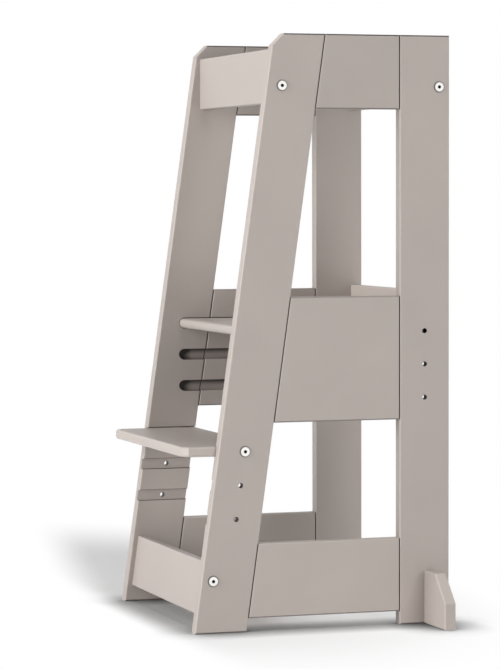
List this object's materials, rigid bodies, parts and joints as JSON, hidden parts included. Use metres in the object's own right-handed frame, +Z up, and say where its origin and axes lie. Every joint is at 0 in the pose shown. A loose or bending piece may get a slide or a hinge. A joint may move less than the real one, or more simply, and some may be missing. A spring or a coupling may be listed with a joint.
{
  "type": "toddler kitchen helper stool",
  "caption": "Painted board stool tower for a toddler: leaning front legs, slotted height settings, step, guard rails and a platform that slides out at the back.",
  "frame": {"origin": "on the floor, at the middle of the overall box's footprint", "axes": "+Z up; -Y is the climbing side with the leaning legs and the step, +Y the plumb back; +X is the right-hand side seen from the front"},
  "size_m": [0.566, 0.4174, 0.885],
  "materials": {
    "painted_board": "satin taupe-grey paint on wood board, edges rounded over",
    "nickel_steel": "satin nickel-plated connector bolts",
    "zinc_steel": "bright zinc-plated barrel nuts and screws",
    "raw_beech": "unfinished beech dowels"
  },
  "bodies": {
    "frame": {"anti_tip_foot_left": "painted_board", "anti_tip_foot_right": "painted_board", "bottom_panel_left": "painted_board", "bottom_panel_right": "painted_board", "foot_screws": "zinc_steel", "front_bottom_bolts": "nickel_steel", "front_bottom_nuts": "zinc_steel", "front_bottom_rail": "painted_board", "front_leg_left": "painted_board", "front_leg_right": "painted_board", "front_top_bolts": "nickel_steel", "front_top_nuts": "zinc_steel", "front_top_rail": "painted_board", "middle_panel_left": "painted_board", "middle_panel_right": "painted_board", "panel_dowels_left": "raw_beech", "panel_dowels_right": "raw_beech", "rail_dowels": "raw_beech", "rear_leg_left": "painted_board", "rear_leg_right": "painted_board", "rear_top_bolts": "nickel_steel", "rear_top_nuts": "zinc_steel", "rear_top_rail": "painted_board", "step": "painted_board", "step_bolts": "nickel_steel", "step_nuts": "zinc_steel", "top_panel_left": "painted_board", "top_panel_right": "painted_board"},
    "platform": {"platform": "painted_board", "back_board": "painted_board", "back_board_screws": "zinc_steel", "platform_nuts": "zinc_steel"}
  },
  "joints": [
    {"name": "platform_slide", "type": "slide", "parent": "frame", "child": "platform", "axis": [0, 1, 0], "range_m": [0, 0.3]}
  ]
}
